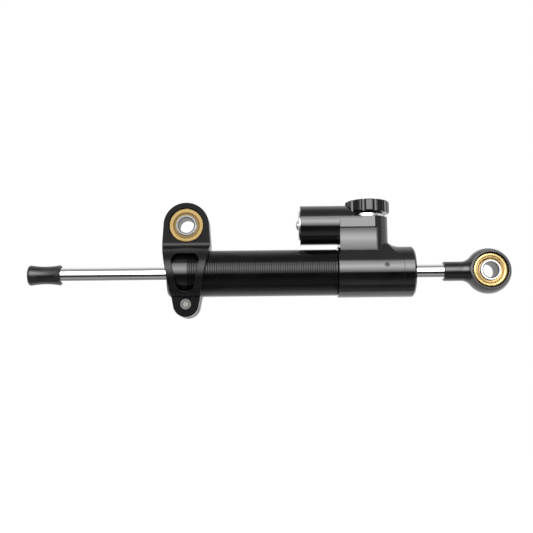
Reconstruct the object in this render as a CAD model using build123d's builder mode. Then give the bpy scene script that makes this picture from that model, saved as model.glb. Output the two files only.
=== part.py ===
from build123d import *
import os
from math import acos, asin, atan2, cos, sin, sqrt

# Steering damper: a through rod slides in an oil-filled barrel, an adjuster valve and a
# reservoir stand on the head, a clamp with a ball bearing grips the barrel and a rod end
# with the same bearing is screwed on the rod.
# Millimetres. The origin is the centre of the clamp's ball, +X runs along the rod towards
# the rod end, +Z is up through the knob, and both bearing bores run along Y.

# Main line, along X
clamp_to_barrel_axis = 25.3
clamp_to_barrel_end = 9.8
end_gland_shown = 10.8
barrel_shown = 78.7
head_block_length = 33.7
head_gland_shown = 6.4
rod_shown_left = 56.9
rod_shown_right = 15.9
neck_to_eye = 23.9

# Barrel, tubes and glands
inner_tube_diameter = 17.6
inner_tube_wall = 1.0
oil_space = 1.2
barrel_wall = 2.3
barrel_thread_wall = 1.1
head_socket_length = 12.0
head_socket_wall = 2.3
port_diameter = 2.4
port_count = 2
gland_spigot_length = 12.0
gland_nose_length = 1.5
wiper_width = 3.0
wiper_lip = 1.2
seal_width = 3.6
seal_depth = 2.6
bush_wall = 1.0
gland_land = 2.0
ring_width = 2.2
ring_depth = 1.6
collar_chamfer = 1.0
edge_break = 0.4

# Rod, piston and rubber cap
rod_diameter = 8.0
rod_end_thread_length = 8.0
piston_length = 9.0
piston_ring_width = 4.0
piston_ring_depth_share = 0.33
circlip_thickness = 0.9
circlip_depth = 1.3
circlip_groove_depth = 0.3
stop_gap = 0.4
cap_length = 17.2
cap_diameter = 10.8
cap_waist_diameter = 9.4
cap_end_wall = 2.7
cap_corner_radius = 1.3
cap_lip_length = 1.2
cap_lip_wall = 0.5

# Ball bearings, alike in the clamp and in the rod end
bearing_bore = 8.1
ball_diameter = 15.88
ball_width = 12.0
race_diameter = 18.7
race_width = 11.6
race_seat_width = 8.8
race_face_width = 2.0
bore_chamfer = 0.4

# Rod end
neck_diameter = 10.3
eye_diameter = 24.3
eye_thickness = 12.8
neck_flare_radius = 6.5

# Clamp bracket
clamp_eye_diameter = 24.0
clamp_eye_thickness = 12.0
clamp_shoulder_width = 25.4
clamp_shoulder_drop = 10.6
band_wall = 2.9
band_fillet = 1.6
ear_thickness = 15.6
ear_radius = 6.7
bolt_drop = 16.6
split_width = 2.0
window_width = 14.3
window_foot_width = 8.4
window_above_axis = 9.7
window_below_axis = 10.1
window_corner_radius = 3.9
clamp_bolt_diameter = 3.0
clamp_bolt_head_diameter = 5.5
clamp_bolt_head_height = 2.6
clamp_bolt_recess_depth = 1.7
clamp_bolt_recess_gap = 0.7

# Head block: reservoir, web and knob boss, measured up from the barrel's axis
reservoir_height = 25.3
reservoir_diameter = 21.0
reservoir_overhang = 19.5
reservoir_bore = 15.6
reservoir_depth = 20.4
web_inset = 1.1
web_waist = 16.0
front_flat_width = 20.6
ledge_height = 22.8
knob_from_head = 16.4
boss_diameter = 21.4
boss_height = 28.8
boss_corner_radius = 1.4
scoop_radius = 24.0
scoop_middle_height = 19.4
scoop_end_from_knob = 3.9
foot_shoulder_height = 10.8
foot_height = 16.0
foot_end_from_knob = 16.6
foot_run_radius = 10.0
pocket_gap = 0.6
bleed_plug_diameter = 2.4
bleed_plug_length = 1.6
bleed_plug_from_seam = 9.0
bleed_plug_above_axis = 2.6
bleed_plug_socket = 1.0

# Reservoir pieces
plug_flange_diameter = 16.2
plug_flange_thickness = 1.0
plug_spigot_length = 5.6
plug_ring_from_flange = 1.6
fill_screw_diameter = 3.0
fill_screw_head_diameter = 5.0
fill_screw_head_height = 1.05
fill_screw_length = 5.0
fill_screw_socket = 1.5
floating_piston_length = 5.0
floating_piston_from_plug = 3.0

# Adjuster: knob, collar, stem and needle
knob_diameter = 23.4
knob_height = 6.3
knob_flute_count = 12
knob_flute_radius = 1.5
knob_flute_depth = 0.9
knob_bevel = 0.5
knob_recess_diameter = 12.0
knob_recess_depth = 1.4
knob_hub_diameter = 4.4
knob_hub_flat = 0.5
knob_screw_head_diameter = 7.0
knob_screw_head_height = 1.1
knob_screw_diameter = 2.5
knob_screw_length = 5.0
knob_screw_socket = 1.5
collar_diameter = 17.0
collar_height = 2.2
collar_spigot_diameter = 11.0
collar_spigot_length = 0.9
stem_diameter = 5.0
stem_flange_diameter = 9.2
stem_flange_thickness = 1.4
stem_seal_diameter = 6.6
stem_seal_length = 4.6
stem_ring_width = 1.6
stem_ring_depth = 0.9
stem_thread_diameter = 4.0
stem_thread_length = 4.0
stem_thread_pitch = 0.7
knob_turns_each_way = 0.75
needle_diameter = 6.0
needle_flat_depth = 0.5
needle_top_gap = 0.8
needle_floor = 0.9
needle_cone_length = 1.4
needle_cone_diameter = 3.0
needle_tip_diameter = 0.6
orifice_diameter = 2.0
reservoir_passage_height = 21.1
passage_diameter = 1.4
gland_passage_from_end = 3.6
detent_pin_diameter = 2.0
detent_pin_length = 2.6
detent_pin_rise = 0.8
detent_radius = 6.8
detent_track_width = 2.6
detent_spring_turns = 3
detent_pocket_depth = 3.2
detent_spring_wire = 0.3

# Clearances
seat_gap = 0.03
running_gap = 0.04
slide_gap = 0.05
float_gap = 0.15
knob_gap = 0.2
cut_overrun = 5.0

# Stations along X and heights along Z
axis_z = -clamp_to_barrel_axis
barrel_end_x = -clamp_to_barrel_end
tube_x = barrel_end_x + end_gland_shown
head_x = tube_x + barrel_shown
head_gland_x = head_x + head_block_length
head_end_x = head_gland_x + head_gland_shown
neck_x = head_end_x + rod_shown_right
eye_x = neck_x + neck_to_eye
cap_lip_x = barrel_end_x - rod_shown_left
cap_end_x = cap_lip_x - cap_length
knob_x = head_x + knob_from_head
reservoir_x = head_x - reservoir_overhang
reservoir_z = axis_z + reservoir_height
boss_top_z = axis_z + boss_height
collar_top_z = boss_top_z + collar_height
flange_top_z = boss_top_z - collar_spigot_length
seal_top_z = flange_top_z - stem_flange_thickness - slide_gap
seal_bottom_z = seal_top_z - stem_seal_length
needle_top_z = seal_bottom_z - needle_top_gap
needle_travel = stem_thread_pitch * knob_turns_each_way
thread_end_z = seal_bottom_z - stem_thread_length
needle_floor_z = thread_end_z - needle_travel - float_gap
needle_cone_z = needle_floor_z - needle_floor
needle_tip_z = needle_cone_z - needle_cone_length
knob_bottom_z = collar_top_z + knob_gap
knob_top_z = knob_bottom_z + knob_height
bolt_z = axis_z - bolt_drop

barrel_axis = Axis((0, 0, axis_z), (1, 0, 0))
knob_axis = Axis((knob_x, 0, 0), (0, 0, 1))

rod_radius = rod_diameter / 2
bore_radius = inner_tube_diameter / 2 + oil_space
barrel_radius = bore_radius + barrel_wall
socket_radius = bore_radius + barrel_thread_wall
head_radius = socket_radius + head_socket_wall
spigot_radius = bore_radius - seat_gap
tube_bore_radius = inner_tube_diameter / 2 - inner_tube_wall
bush_radius = rod_radius + running_gap + bush_wall
ball_radius = ball_diameter / 2
race_radius = race_diameter / 2
reservoir_radius = reservoir_diameter / 2
needle_radius = needle_diameter / 2
seal_bore_radius = stem_seal_diameter / 2 + slide_gap
track_depth = detent_pin_rise - knob_gap + running_gap
cone_slope = (needle_cone_diameter - needle_tip_diameter) / 2 / needle_cone_length
cone_meets_seat_z = needle_tip_z + (orifice_diameter - needle_tip_diameter) / 2 / cone_slope
seat_z = cone_meets_seat_z - needle_travel - float_gap

shoulder_depth = web_waist / 2 + scoop_radius - sqrt(
    scoop_radius ** 2 - (scoop_middle_height - foot_shoulder_height) ** 2)

bleed_plug_angle = asin(bleed_plug_above_axis / head_radius)
plug_out = Vector(0, -cos(bleed_plug_angle), sin(bleed_plug_angle))
plug_start = Vector(head_gland_x - bleed_plug_from_seam, 0, axis_z) + plug_out * (head_radius - bleed_plug_length)
plug_seat = Plane(origin=plug_start, x_dir=(1, 0, 0), z_dir=plug_out)

os.makedirs("parts", exist_ok=True)


def along_x(x, way=1, z=axis_z):
    """Plane through an X axis at height z: local x runs along it the given way from x, local y up."""
    return Plane(origin=(x, 0, z), x_dir=(way, 0, 0), z_dir=(0, -way, 0))


def across_x(x, z=axis_z):
    """Plane square to the barrel at x, centred at height z: local x is world Y, local y is world Z."""
    return Plane(origin=(x, 0, z), x_dir=(0, 1, 0), z_dir=(1, 0, 0))


def spin(plane, axis, points, mode=Mode.ADD):
    """Draw a closed half outline on the plane and spin it about the axis, in the open BuildPart."""
    with BuildSketch(plane) as outline:
        with BuildLine():
            Polyline(*points, close=True)
        make_face()
    revolve(outline.sketch, axis=axis, mode=mode)


def drill(start, end, radius):
    """Cut a straight round hole between two points, in the open BuildPart."""
    with BuildSketch(Plane(origin=start, z_dir=(end - start).normalized())) as mouth:
        Circle(radius)
    extrude(mouth.sketch, amount=(end - start).length, mode=Mode.SUBTRACT)


def save(piece, label):
    """Name the finished piece and write its file."""
    piece.part.label = label
    export_step(piece.part, f"parts/{label}.step")


# Barrel: the outer tube, open at both ends and turned down where it screws into the head
with BuildPart() as barrel_tube:
    socket_end = barrel_shown + head_socket_length - seat_gap
    spin(along_x(tube_x), barrel_axis, [
        (0, bore_radius), (0, barrel_radius), (barrel_shown, barrel_radius),
        (barrel_shown, socket_radius - seat_gap), (socket_end, socket_radius - seat_gap),
        (socket_end, bore_radius)])
save(barrel_tube, "barrel_tube")

# Inner tube: the piston's cylinder, with ports at its left end into the space round it
inner_tube_x = tube_x + gland_spigot_length + seat_gap
inner_tube_length = head_gland_x - gland_spigot_length - seat_gap - inner_tube_x
with BuildPart() as inner_tube:
    spin(along_x(inner_tube_x), barrel_axis, [
        (0, tube_bore_radius), (0, inner_tube_diameter / 2),
        (inner_tube_length, inner_tube_diameter / 2), (inner_tube_length, tube_bore_radius)])
    port_x = inner_tube_x + gland_nose_length + port_diameter
    with BuildSketch(Plane(origin=(port_x, 0, axis_z), z_dir=(0, 0, 1))):
        Circle(port_diameter / 2)
    port = extrude(amount=inner_tube_diameter, mode=Mode.PRIVATE)
    for turn in range(port_count):
        add(port.rotate(barrel_axis, turn * 360 / port_count), mode=Mode.SUBTRACT)
save(inner_tube, "inner_tube")



# Glands: each closes one end of the barrel and carries the rod's wiper, seal and bush
def build_gland(prefix, face_x, way, shown, collar_radius, has_passage):
    """One gland and its four rings, with local x running inward from the gland's outer face."""
    plane = along_x(face_x, way)
    spigot_end = shown + gland_spigot_length
    nose_end = spigot_end + gland_nose_length
    nose_radius = tube_bore_radius - seat_gap
    throat = rod_radius + float_gap
    pocket_radius = rod_radius + seal_depth
    pocket_end = wiper_width + seal_width
    bush_start = pocket_end + gland_land
    groove_start = shown + gland_land
    groove_end = groove_start + ring_width
    groove_radius = spigot_radius - ring_depth
    with BuildPart() as gland:
        spin(plane, barrel_axis, [
            (0, pocket_radius), (0, collar_radius), (shown, collar_radius), (shown, spigot_radius),
            (groove_start, spigot_radius), (groove_start, groove_radius),
            (groove_end, groove_radius), (groove_end, spigot_radius), (spigot_end, spigot_radius),
            (spigot_end, nose_radius), (nose_end, nose_radius), (nose_end, bush_radius),
            (bush_start, bush_radius), (bush_start, throat), (pocket_end, throat),
            (pocket_end, pocket_radius)])
        rims = gland.edges().filter_by(GeomType.CIRCLE).sort_by(SortBy.RADIUS)[-2:]
        outer_rim = rims.sort_by(Axis.X)[0 if way > 0 else -1]
        chamfer(outer_rim, collar_chamfer)
        if has_passage:
            turn_x = face_x + way * (spigot_end - gland_passage_from_end)
            nose_x = face_x + way * nose_end
            lane_z = axis_z + (bush_radius + nose_radius) / 2
            lane = passage_diameter / 2
            drill(Vector(turn_x, 0, axis_z + bore_radius), Vector(turn_x, 0, lane_z), lane)
            drill(Vector(nose_x, 0, lane_z), Vector(turn_x, 0, lane_z), lane)
    save(gland, f"{prefix}_gland")

    lip = rod_radius + running_gap
    with BuildPart() as wiper:
        spin(plane, barrel_axis, [
            (seat_gap, lip + wiper_lip), (seat_gap, pocket_radius - seat_gap),
            (wiper_width - seat_gap, pocket_radius - seat_gap), (wiper_width - seat_gap, lip)])
    save(wiper, f"{prefix}_wiper")

    with BuildPart() as seal:
        spin(plane, barrel_axis, [
            (wiper_width + seat_gap, lip), (wiper_width + seat_gap, pocket_radius - seat_gap),
            (pocket_end - seat_gap, pocket_radius - seat_gap), (pocket_end - seat_gap, lip)])
    save(seal, f"{prefix}_rod_seal")

    with BuildPart() as bush:
        spin(plane, barrel_axis, [
            (bush_start + seat_gap, lip), (bush_start + seat_gap, bush_radius - seat_gap),
            (nose_end, bush_radius - seat_gap), (nose_end, lip)])
    save(bush, f"{prefix}_rod_bush")

    with BuildPart() as ring:
        spin(plane, barrel_axis, [
            (groove_start + seat_gap, groove_radius + seat_gap),
            (groove_start + seat_gap, bore_radius - seat_gap),
            (groove_end - seat_gap, bore_radius - seat_gap),
            (groove_end - seat_gap, groove_radius + seat_gap)])
    save(ring, f"{prefix}_gland_ring")


build_gland("end", barrel_end_x, 1, end_gland_shown, barrel_radius, has_passage=False)
build_gland("head", head_end_x, -1, head_gland_shown, head_radius, has_passage=True)

# Piston place: midway between the two ends of its travel, so that the outer stops meet first
chamber_start = inner_tube_x + gland_nose_length
chamber_end = inner_tube_x + inner_tube_length - gland_nose_length
extend_travel = rod_shown_left - stop_gap
retract_travel = rod_shown_right - stop_gap
piston_x = (chamber_start + retract_travel + chamber_end - extend_travel - piston_length) / 2
print("rod travel", round(-retract_travel, 2), round(extend_travel, 2))
print("piston clearance at each end", round(piston_x - retract_travel - chamber_start, 2))

# Piston rod: ground and chromed, one bar from the rubber cap to the rod end
rod_start_x = cap_end_x + cap_end_wall + seat_gap
rod_end_x = neck_x + rod_end_thread_length
clip_floor = rod_radius - circlip_groove_depth
left_clip_x = piston_x - seat_gap - circlip_thickness
right_clip_x = piston_x + piston_length + seat_gap
with BuildPart() as piston_rod:
    rod_outline = [(rod_start_x, 0), (rod_start_x, rod_radius)]
    for clip_x in (left_clip_x, right_clip_x):
        clip_end_x = clip_x + circlip_thickness
        rod_outline += [(clip_x, rod_radius), (clip_x, clip_floor),
                        (clip_end_x, clip_floor), (clip_end_x, rod_radius)]
    rod_outline += [(rod_end_x, rod_radius), (rod_end_x, 0)]
    spin(along_x(0), barrel_axis, rod_outline)
save(piston_rod, "piston_rod")

# Piston: held on the rod by a circlip at each end, with a bearing ring in its groove
piston_radius = tube_bore_radius - float_gap
piston_groove = piston_radius - piston_ring_depth_share * (piston_radius - rod_radius)
ring_start = (piston_length - piston_ring_width) / 2
ring_end = ring_start + piston_ring_width
with BuildPart() as piston:
    spin(along_x(piston_x), barrel_axis, [
        (0, rod_radius + seat_gap), (0, piston_radius), (ring_start, piston_radius),
        (ring_start, piston_groove), (ring_end, piston_groove), (ring_end, piston_radius),
        (piston_length, piston_radius), (piston_length, rod_radius + seat_gap)])
save(piston, "piston")

with BuildPart() as piston_ring:
    spin(along_x(piston_x), barrel_axis, [
        (ring_start + seat_gap, piston_groove + seat_gap),
        (ring_start + seat_gap, tube_bore_radius - running_gap),
        (ring_end - seat_gap, tube_bore_radius - running_gap),
        (ring_end - seat_gap, piston_groove + seat_gap)])
save(piston_ring, "piston_ring")

with BuildPart() as piston_circlips:
    for clip_x in (left_clip_x, right_clip_x):
        spin(along_x(clip_x), barrel_axis, [
            (seat_gap, clip_floor + seat_gap), (seat_gap, clip_floor + circlip_depth),
            (circlip_thickness - seat_gap, clip_floor + circlip_depth),
            (circlip_thickness - seat_gap, clip_floor + seat_gap)])
save(piston_circlips, "piston_circlips")

# Rubber cap: a waisted sleeve closed at its left end, pushed over the end of the rod
with BuildPart() as rod_cap:
    cap_radius = cap_diameter / 2
    cap_bore = rod_radius + seat_gap
    with BuildSketch(along_x(cap_end_x)):
        with BuildLine():
            waist = (cap_length / 2, cap_waist_diameter / 2)
            corner = (cap_corner_radius, cap_radius)
            lip_top = (cap_length - cap_lip_wall, cap_radius)
            lip_edge = (cap_length, cap_bore + cap_lip_wall)
            lip_root = (cap_length - cap_lip_length, cap_bore)
            RadiusArc((0, cap_radius - cap_corner_radius), corner, cap_corner_radius)
            ThreePointArc(corner, waist, lip_top)
            Polyline(lip_top, (cap_length, cap_radius - cap_lip_wall), lip_edge, lip_root,
                     (cap_end_wall, cap_bore), (cap_end_wall, 0), (0, 0),
                     (0, cap_radius - cap_corner_radius))
        make_face()
    revolve(axis=barrel_axis)
save(rod_cap, "rod_cap")


# Ball bearings: a brass race with a round seat and bevelled mouths, and a bored steel ball
def build_bearing(prefix, centre):
    """Race and ball about the Y axis through the centre."""
    plane = Plane(origin=centre)
    bore_axis = Axis(centre, (0, 1, 0))
    seat_radius = ball_radius + running_gap
    seat_half = race_seat_width / 2
    seat_edge = sqrt(seat_radius ** 2 - seat_half ** 2)
    face_half = race_width / 2
    with BuildPart() as race:
        with BuildSketch(plane):
            with BuildLine():
                mouth = race_radius - race_face_width
                ThreePointArc((seat_edge, -seat_half), (seat_radius, 0), (seat_edge, seat_half))
                Polyline((seat_edge, seat_half), (mouth, face_half), (race_radius, face_half),
                         (race_radius, -face_half), (mouth, -face_half), (seat_edge, -seat_half))
            make_face()
        revolve(axis=bore_axis)
    save(race, f"{prefix}_race")

    bore_wall = bearing_bore / 2
    ball_half = ball_width / 2
    ball_face = sqrt(ball_radius ** 2 - ball_half ** 2)
    with BuildPart() as ball:
        with BuildSketch(plane):
            with BuildLine():
                ThreePointArc((ball_face, -ball_half), (ball_radius, 0), (ball_face, ball_half))
                Polyline((ball_face, ball_half), (bore_wall + bore_chamfer, ball_half),
                         (bore_wall, ball_half - bore_chamfer),
                         (bore_wall, bore_chamfer - ball_half),
                         (bore_wall + bore_chamfer, -ball_half), (ball_face, -ball_half))
            make_face()
        revolve(axis=bore_axis)
    save(ball, f"{prefix}_ball")


build_bearing("clamp", (0, 0, 0))
build_bearing("rod_end", (eye_x, 0, axis_z))

# Rod end: turned as a ball on a neck, then cut flat on both sides and bored for its bearing
with BuildPart() as rod_end_eye:
    eye_radius = eye_diameter / 2
    neck_radius = neck_diameter / 2
    with BuildSketch(along_x(neck_x)) as eye_outline:
        with Locations((neck_to_eye, 0)):
            Circle(eye_radius)
        with Locations((neck_to_eye / 2, 0)):
            Rectangle(neck_to_eye, neck_diameter)
        neck_corners = eye_outline.vertices().sort_by(Axis.X)
        fillet(neck_corners[2:4], neck_flare_radius)
        chamfer(eye_outline.vertices().sort_by(Axis.X)[:2], edge_break)
        with Locations((neck_to_eye / 2, -eye_radius)):
            Rectangle(neck_to_eye + eye_diameter * 2, eye_diameter, mode=Mode.SUBTRACT)
    revolve(axis=barrel_axis)
    with BuildSketch(Plane.XZ.offset(eye_thickness / 2)):
        with Locations((eye_x, axis_z)):
            Rectangle(neck_to_eye * 2 + eye_diameter, eye_diameter + cut_overrun)
    extrude(amount=eye_diameter, mode=Mode.SUBTRACT)
    with BuildSketch(Plane.XZ.offset(-eye_thickness / 2)):
        with Locations((eye_x, axis_z)):
            Rectangle(neck_to_eye * 2 + eye_diameter, eye_diameter + cut_overrun)
    extrude(amount=-eye_diameter, mode=Mode.SUBTRACT)
    with BuildSketch(Plane(origin=(eye_x, 0, axis_z), x_dir=(1, 0, 0), z_dir=(0, 1, 0))):
        Circle(race_radius + seat_gap)
    extrude(amount=eye_thickness, both=True, mode=Mode.SUBTRACT)
    with BuildSketch(across_x(neck_x - seat_gap)):
        Circle(rod_radius + running_gap)
    extrude(amount=rod_end_thread_length + edge_break, mode=Mode.SUBTRACT)
save(rod_end_eye, "rod_end_eye")

# Clamp bracket: side view first, as a plate on a split band with two ears, then trimmed to
# its front outline, which tapers from the shoulder to the ears
band_radius = barrel_radius + slide_gap + band_wall
ear_bottom = bolt_drop + ear_radius
with BuildPart() as clamp_bracket:
    with BuildSketch(across_x(-clamp_shoulder_width / 2)) as side_view:
        Circle(band_radius)
        with Locations((0, (clamp_to_barrel_axis + clamp_eye_diameter / 2) / 2)):
            Rectangle(clamp_eye_thickness, clamp_to_barrel_axis + clamp_eye_diameter / 2)
        with Locations((0, -ear_bottom / 2)):
            Rectangle(ear_thickness, ear_bottom)
        inner_corners = side_view.vertices().filter_by_position(Axis.Y, band_radius / 2, band_radius)
        fillet(inner_corners, band_fillet)
        Circle(barrel_radius + slide_gap, mode=Mode.SUBTRACT)
        with Locations((0, -ear_bottom / 2 - cut_overrun / 2)):
            Rectangle(split_width, ear_bottom + cut_overrun, mode=Mode.SUBTRACT)
    extrude(amount=clamp_shoulder_width)
    with BuildSketch(Plane.XZ.offset(-band_radius)):
        shoulder = clamp_shoulder_width / 2
        eye_half = clamp_eye_diameter / 2
        drop = clamp_to_barrel_axis + bolt_drop
        reach = sqrt((drop - clamp_shoulder_drop) ** 2 + shoulder ** 2)
        lean = asin(shoulder / reach) - asin(ear_radius / reach)
        ear_touch = (ear_radius * cos(lean), -drop - ear_radius * sin(lean))
        with BuildLine():
            ThreePointArc((-eye_half, 0), (0, eye_half), (eye_half, 0))
            Line((eye_half, 0), (shoulder, -clamp_shoulder_drop))
            Line((shoulder, -clamp_shoulder_drop), ear_touch)
            ThreePointArc(ear_touch, (0, -drop - ear_radius), (-ear_touch[0], ear_touch[1]))
            Line((-ear_touch[0], ear_touch[1]), (-shoulder, -clamp_shoulder_drop))
            Line((-shoulder, -clamp_shoulder_drop), (-eye_half, 0))
        make_face()
    extrude(amount=2 * band_radius, mode=Mode.INTERSECT)
    with BuildSketch(Plane.XZ.offset(-band_radius)) as window:
        with BuildLine():
            Polyline((-window_width / 2, axis_z + window_above_axis),
                     (window_width / 2, axis_z + window_above_axis),
                     (window_width / 2, axis_z + window_above_axis / 2),
                     (window_foot_width / 2, axis_z - window_below_axis),
                     (-window_foot_width / 2, axis_z - window_below_axis),
                     (-window_width / 2, axis_z + window_above_axis / 2), close=True)
        make_face()
        fillet(window.vertices(), window_corner_radius)
    extrude(amount=2 * band_radius, mode=Mode.SUBTRACT)
    with BuildSketch(Plane.XZ.offset(-band_radius)):
        Circle(race_radius + seat_gap)
    extrude(amount=2 * band_radius, mode=Mode.SUBTRACT)
    with BuildSketch(Plane.XZ.offset(-band_radius)):
        with Locations((0, bolt_z)):
            Circle(clamp_bolt_diameter / 2 + seat_gap)
    extrude(amount=2 * band_radius, mode=Mode.SUBTRACT)
    with BuildSketch(Plane.XZ.offset(ear_thickness / 2 - clamp_bolt_recess_depth)):
        with Locations((0, bolt_z)):
            Circle(clamp_bolt_head_diameter / 2 + clamp_bolt_recess_gap)
    extrude(amount=band_radius, mode=Mode.SUBTRACT)
save(clamp_bracket, "clamp_bracket")

# Clamp bolt: socket screw through the front ear, threaded into the rear one
with BuildPart() as clamp_bolt:
    head_seat = ear_thickness / 2 - clamp_bolt_recess_depth + seat_gap
    with BuildSketch(Plane(origin=(0, -head_seat, bolt_z), x_dir=(1, 0, 0), z_dir=(0, -1, 0))):
        Circle(clamp_bolt_head_diameter / 2)
    extrude(amount=clamp_bolt_head_height)
    with BuildSketch(Plane(origin=(0, -head_seat, bolt_z), x_dir=(1, 0, 0), z_dir=(0, -1, 0))):
        Circle(clamp_bolt_diameter / 2)
    extrude(amount=-(head_seat + ear_thickness / 2))
    with BuildSketch(Plane(origin=(0, -head_seat - clamp_bolt_head_height, bolt_z),
                           x_dir=(1, 0, 0), z_dir=(0, -1, 0))):
        RegularPolygon(clamp_bolt_head_diameter / 4, 6, major_radius=True)
    extrude(amount=-clamp_bolt_head_height / 2, mode=Mode.SUBTRACT)
save(clamp_bolt, "clamp_bolt")

# Head block: one machined block with the barrel's socket, the reservoir and the knob's boss
with BuildPart() as head_block:
    # the foot: milled with two sloping sides, and turned down to the cylinder at its right end
    shoulder_radius = max(sqrt(shoulder_depth ** 2 + foot_shoulder_height ** 2), head_radius)
    side_lean = atan2(foot_shoulder_height, shoulder_depth) - acos(head_radius / shoulder_radius)
    side_foot_y = (head_radius - seat_gap) * cos(side_lean)
    side_foot_z = (head_radius - seat_gap) * sin(side_lean)
    side_top_y = side_foot_y - (foot_height - side_foot_z) * sin(side_lean) / cos(side_lean)
    foot_end = knob_from_head + foot_end_from_knob
    with BuildSketch(across_x(head_x + web_inset)):
        with BuildLine():
            Polyline((-side_foot_y, side_foot_z), (-side_top_y, foot_height),
                     (side_top_y, foot_height), (side_foot_y, side_foot_z), close=True)
        make_face()
    extrude(amount=foot_end - web_inset)
    with BuildSketch(along_x(head_x)):
        with BuildLine():
            run_turn = acos(1 - (foot_height - head_radius) / foot_run_radius)
            run_start = (foot_end - foot_run_radius * sin(run_turn), foot_height)
            run_middle = (foot_end - foot_run_radius * sin(run_turn / 2),
                          head_radius + foot_run_radius * (1 - cos(run_turn / 2)))
            ThreePointArc(run_start, run_middle, (foot_end, head_radius))
            Polyline((foot_end, head_radius), (foot_end, 0), (0, 0), (0, foot_height), run_start)
        make_face()
    revolve(axis=barrel_axis, mode=Mode.INTERSECT)
    # the web and the boss, milled flat on both sides down to a ledge and scooped below it
    with BuildSketch(Plane.XY.offset(axis_z + foot_shoulder_height)):
        with Locations(((head_x + web_inset + knob_x) / 2, 0)):
            Rectangle(knob_x - head_x - web_inset, front_flat_width)
        with Locations((knob_x, 0)):
            Circle(boss_diameter / 2)
    extrude(amount=reservoir_height - foot_shoulder_height)
    with BuildSketch(Plane.XY.offset(axis_z + foot_shoulder_height)):
        with Locations((knob_x, 0)):
            Circle(boss_diameter / 2)
    extrude(amount=boss_height - foot_shoulder_height)
    with BuildSketch(across_x(reservoir_x, reservoir_z)):
        Circle(reservoir_radius)
    extrude(amount=knob_x - reservoir_x)
    for side in (-1, 1):
        with BuildSketch(across_x(head_x + web_inset)):
            with BuildLine():
                ledge_y = web_waist / 2 + scoop_radius - sqrt(
                    scoop_radius ** 2 - (ledge_height - scoop_middle_height) ** 2)
                outside = boss_diameter
                ThreePointArc((side * ledge_y, ledge_height),
                              (side * web_waist / 2, scoop_middle_height),
                              (side * shoulder_depth, foot_shoulder_height))
                Polyline((side * shoulder_depth, foot_shoulder_height),
                         (side * outside, foot_shoulder_height), (side * outside, 2 * boss_height),
                         (side * front_flat_width / 2, 2 * boss_height),
                         (side * front_flat_width / 2, ledge_height), (side * ledge_y, ledge_height))
            make_face()
        extrude(amount=knob_from_head - web_inset + scoop_end_from_knob, mode=Mode.SUBTRACT)
    boss_rim = head_block.faces().filter_by(GeomType.PLANE).sort_by(Axis.Z)[-1].outer_wire().edges()
    fillet(boss_rim, boss_corner_radius)
    with BuildSketch(across_x(head_x)):
        Circle(head_radius)
    extrude(amount=head_block_length)
    # the reservoir's end, milled away round the knob
    with BuildSketch(Plane.XY.offset(boss_top_z)):
        with Locations((knob_x, 0)):
            Circle(knob_diameter / 2 + pocket_gap)
    extrude(amount=reservoir_diameter, mode=Mode.SUBTRACT)
    # the barrel's socket and the bore behind it
    with BuildSketch(across_x(head_x)):
        Circle(socket_radius)
    extrude(amount=head_socket_length, mode=Mode.SUBTRACT)
    with BuildSketch(across_x(head_x)):
        Circle(bore_radius)
    extrude(amount=head_block_length, mode=Mode.SUBTRACT)
    # the reservoir's bore, and the stepped bore of the valve down to its seat and orifice
    with BuildSketch(across_x(reservoir_x, reservoir_z)):
        Circle(reservoir_bore / 2)
    extrude(amount=reservoir_depth, mode=Mode.SUBTRACT)
    valve_centre = Plane(origin=(knob_x, 0, 0), x_dir=(1, 0, 0), z_dir=(0, -1, 0))
    flange_radius = stem_flange_diameter / 2 + slide_gap
    bore_clear = needle_radius + slide_gap
    spin(valve_centre, knob_axis, [
        (0, boss_top_z + cut_overrun), (collar_spigot_diameter / 2 + seat_gap, boss_top_z + cut_overrun),
        (collar_spigot_diameter / 2 + seat_gap, flange_top_z), (flange_radius, flange_top_z),
        (flange_radius, seal_top_z), (seal_bore_radius, seal_top_z),
        (seal_bore_radius, seal_bottom_z), (bore_clear, seal_bottom_z), (bore_clear, seat_z),
        (orifice_diameter / 2, seat_z), (orifice_diameter / 2, axis_z + bore_radius - edge_break),
        (0, axis_z + bore_radius - edge_break)], mode=Mode.SUBTRACT)
    # the flat in the bore that stops the needle from turning
    with BuildSketch(Plane.XY.offset(seat_z)):
        with Locations((knob_x, bore_clear)):
            Rectangle(needle_diameter, 2 * needle_flat_depth)
    extrude(amount=seal_bottom_z - seat_z)
    # passages: reservoir to valve, and valve to the chamber behind the head gland
    lane = passage_diameter / 2
    drill(Vector(reservoir_x + reservoir_depth - edge_break, 0, axis_z + reservoir_passage_height),
          Vector(knob_x, 0, axis_z + reservoir_passage_height), lane)
    turn_x = head_gland_x - gland_spigot_length + gland_passage_from_end
    drill(Vector(turn_x, 0, axis_z + bore_radius - lane),
          Vector(knob_x, 0, seat_z + needle_cone_length), lane)
    # the detent's pocket and the bleed plug's seat
    with BuildSketch(Plane.XY.offset(boss_top_z)):
        with Locations((knob_x + detent_radius, 0)):
            Circle(detent_pin_diameter / 2 + slide_gap)
    extrude(amount=-detent_pocket_depth, mode=Mode.SUBTRACT)
    with BuildSketch(plug_seat):
        Circle(bleed_plug_diameter / 2 + seat_gap)
    extrude(amount=cut_overrun, mode=Mode.SUBTRACT)
save(head_block, "head_block")

# Bleed plug: a small screw flush with the front of the head
with BuildPart() as bleed_plug:
    with BuildSketch(plug_seat.offset(seat_gap)):
        Circle(bleed_plug_diameter / 2)
    extrude(amount=bleed_plug_length - seat_gap)
    with BuildSketch(plug_seat.offset(bleed_plug_length)):
        RegularPolygon(bleed_plug_socket / 2, 6)
    extrude(amount=-bleed_plug_length / 2, mode=Mode.SUBTRACT)
save(bleed_plug, "bleed_plug")

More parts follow.
